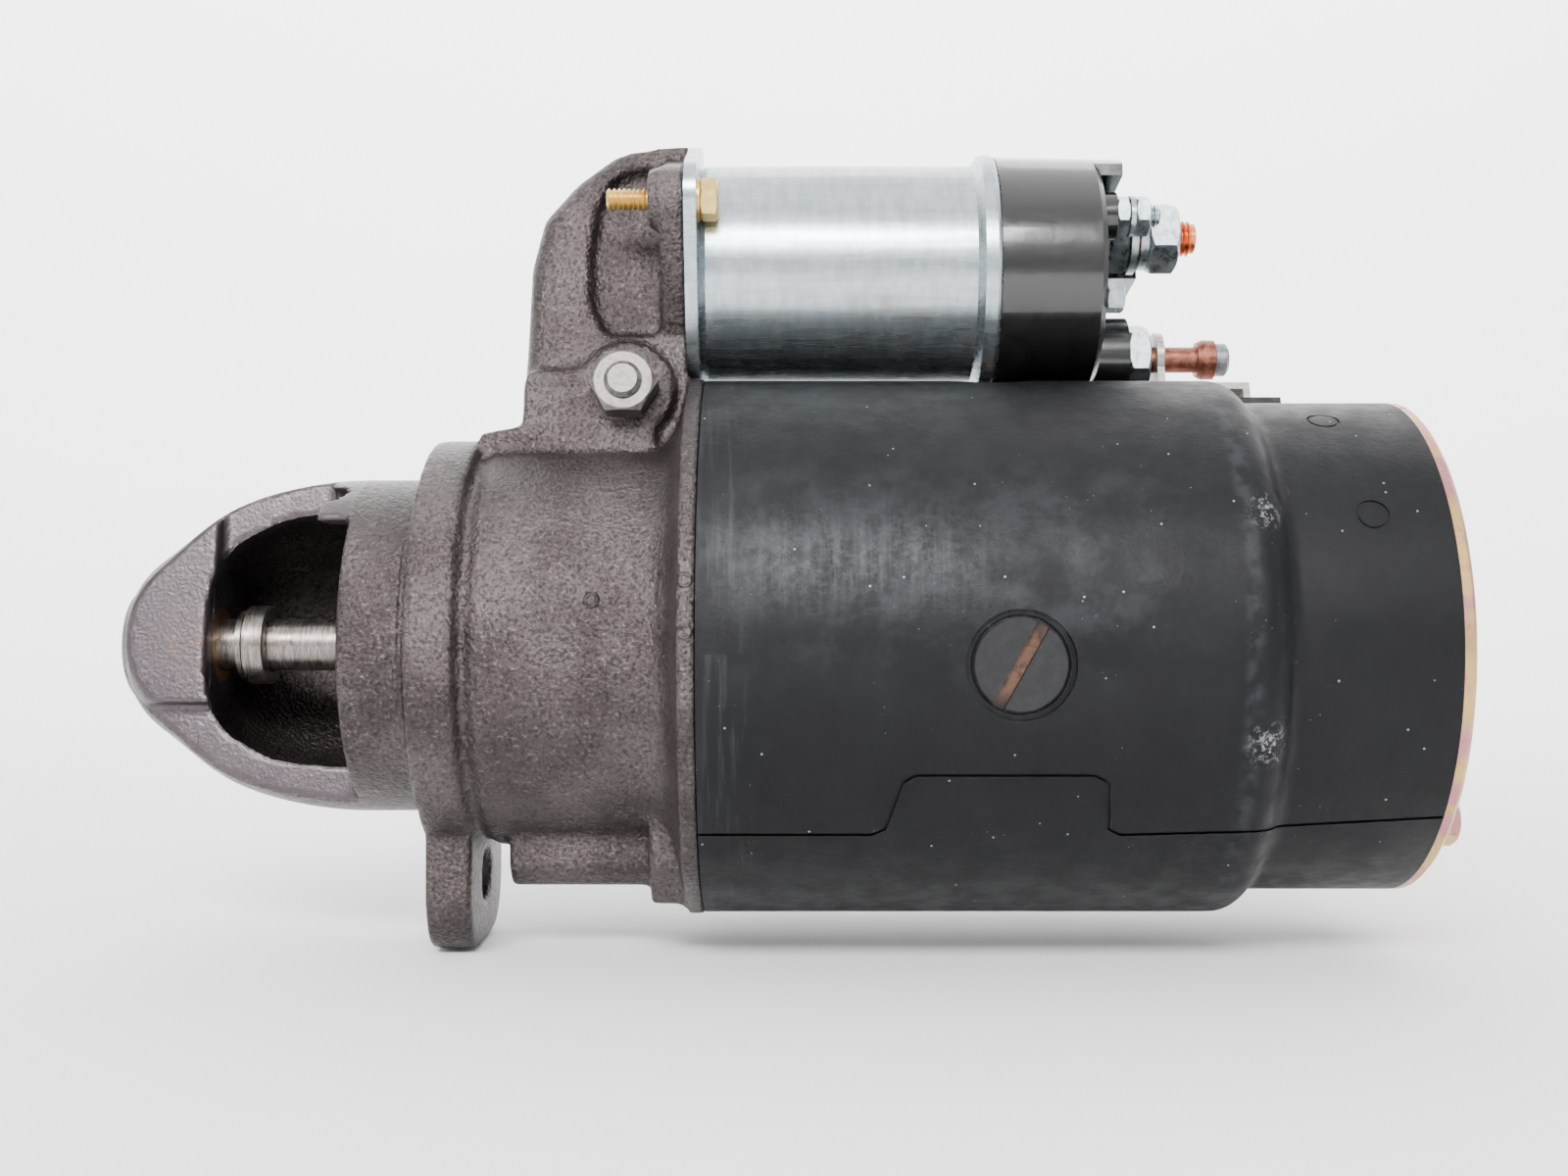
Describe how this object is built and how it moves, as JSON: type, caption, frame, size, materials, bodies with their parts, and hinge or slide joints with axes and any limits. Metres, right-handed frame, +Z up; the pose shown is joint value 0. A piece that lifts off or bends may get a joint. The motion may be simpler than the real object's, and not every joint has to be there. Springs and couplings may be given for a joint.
{
  "type": "starter motor",
  "caption": "Engine starter motor with a piggyback solenoid, enclosed shift lever, sliding overrunning-clutch pinion in a windowed nose, and a flanged cast drive housing.",
  "frame": {"origin": "on the shaft axis at the front face of the mounting flange, where the pilot meets it", "axes": "+X along the shaft towards the commutator end, so the nose points to -X; +Z up, away from the lower flange ear; the pinion window faces -Y"},
  "size_m": [0.2775, 0.1214, 0.1751],
  "materials": {
    "cast_iron": "sand cast, painted metallic grey-brown, satin",
    "frame_paint": "flat blue-black paint on rolled steel",
    "blackened_steel": "flat black, slots rusty",
    "bare_steel": "turned and ground",
    "spring_steel": "drawn wire",
    "soft_iron": "stamped and machined",
    "yellow_zinc": "yellow zinc plating, iridescent",
    "clear_zinc": "clear zinc plating, satin with a blue cast",
    "phenolic": "compression moulded, glossy black",
    "copper": "bare copper, partly tarnished",
    "winding": "varnished copper",
    "bronze": "sintered bronze",
    "insulation": "pressed insulating board",
    "carbon": "copper-carbon, matte",
    "rubber": "moulded black rubber"
  },
  "bodies": {
    "housing": {"drive_housing": "cast_iron", "nose_bushing": "bronze", "field_frame": "frame_paint", "pole_shoes": "soft_iron", "pole_screws": "blackened_steel", "field_coils": "winding", "end_plate": "yellow_zinc", "end_bushing": "bronze", "through_bolts": "yellow_zinc", "brush_ring": "insulation", "brush_boxes": "clear_zinc", "brush_spring_top": "spring_steel", "brush_spring_front": "spring_steel", "brush_spring_bottom": "spring_steel", "brush_spring_back": "spring_steel", "frame_grommet": "rubber", "field_strap": "copper", "pivot_pin": "bare_steel", "pivot_nut": "bare_steel", "solenoid_plate": "clear_zinc", "solenoid_case": "clear_zinc", "solenoid_bobbin": "insulation", "solenoid_coil": "winding", "solenoid_core": "bare_steel", "plunger_spring": "spring_steel", "contact_spring": "spring_steel", "solenoid_cap": "phenolic", "cap_screws": "clear_zinc", "battery_stud": "copper", "battery_nuts": "clear_zinc", "battery_washers": "clear_zinc", "signal_stud": "clear_zinc", "signal_nuts": "clear_zinc", "motor_stud": "copper", "motor_nut": "clear_zinc", "motor_clamp": "copper", "motor_screw": "clear_zinc", "solenoid_bolts": "yellow_zinc"},
    "armature": {"armature_shaft": "bare_steel", "armature_core": "soft_iron", "armature_winding": "winding", "commutator": "copper", "thrust_washer": "bare_steel", "stop_collar": "bare_steel", "stop_ring": "bare_steel"},
    "drive": {"clutch_shell": "bare_steel", "clutch_rollers": "bare_steel", "mesh_spring": "spring_steel", "shift_collar": "bare_steel", "collar_ring": "bare_steel"},
    "pinion": {"pinion": "bare_steel"},
    "lever": {"shift_lever": "bare_steel"},
    "plunger": {"plunger": "bare_steel"},
    "contacts": {"contact_rod": "bare_steel", "contact_disc": "copper"},
    "brush_top": {"brush_top": "carbon"},
    "brush_front": {"brush_front": "carbon"},
    "brush_bottom": {"brush_bottom": "carbon"},
    "brush_back": {"brush_back": "carbon"}
  },
  "joints": [
    {"name": "armature_spin", "type": "hinge", "parent": "housing", "child": "armature", "pos_m": [0, 0, 0], "axis": [1, 0, 0], "continuous": true},
    {"name": "drive_slide", "type": "slide", "parent": "armature", "child": "drive", "axis": [1, 0, 0], "range_m": [-0.0187, 0]},
    {"name": "pinion_overrun", "type": "hinge", "parent": "drive", "child": "pinion", "pos_m": [0, 0, 0], "axis": [1, 0, 0], "continuous": true},
    {"name": "lever_swing", "type": "hinge", "parent": "housing", "child": "lever", "pos_m": [0.0405, 0.00903, 0.05121], "axis": [0, 0.9848, -0.1736], "range_deg": [0, 20.6]},
    {"name": "plunger_slide", "type": "slide", "parent": "housing", "child": "plunger", "axis": [1, 0, 0], "range_m": [0, 0.01145], "stiffness_N_per_m": 700, "springref_m": -0.006, "deforming": ["plunger_spring"]},
    {"name": "contact_slide", "type": "slide", "parent": "housing", "child": "contacts", "axis": [1, 0, 0], "range_m": [0, 0.00185], "deforming": ["contact_spring"]},
    {"name": "brush_top_slide", "type": "slide", "parent": "housing", "child": "brush_top", "axis": [0, 0, 1], "range_m": [0, 0.004], "stiffness_N_per_m": 300, "springref_m": -0.005, "deforming": ["brush_spring_top"]},
    {"name": "brush_front_slide", "type": "slide", "parent": "housing", "child": "brush_front", "axis": [0, -1, 0], "range_m": [0, 0.004], "stiffness_N_per_m": 300, "springref_m": -0.005, "deforming": ["brush_spring_front"]},
    {"name": "brush_bottom_slide", "type": "slide", "parent": "housing", "child": "brush_bottom", "axis": [0, 0, -1], "range_m": [0, 0.004], "stiffness_N_per_m": 300, "springref_m": -0.005, "deforming": ["brush_spring_bottom"]},
    {"name": "brush_back_slide", "type": "slide", "parent": "housing", "child": "brush_back", "axis": [0, 1, 0], "range_m": [0, 0.004], "stiffness_N_per_m": 300, "springref_m": -0.005, "deforming": ["brush_spring_back"]}
  ],
  "couplings": [
    {"joint": "drive_slide", "follows": "plunger_slide", "ratio": -1.625},
    {"joint": "lever_swing", "follows": "plunger_slide", "rad_per_m": 31.25},
    {"joint": "contact_slide", "follows": "plunger_slide", "ratio": 0.16}
  ]
}
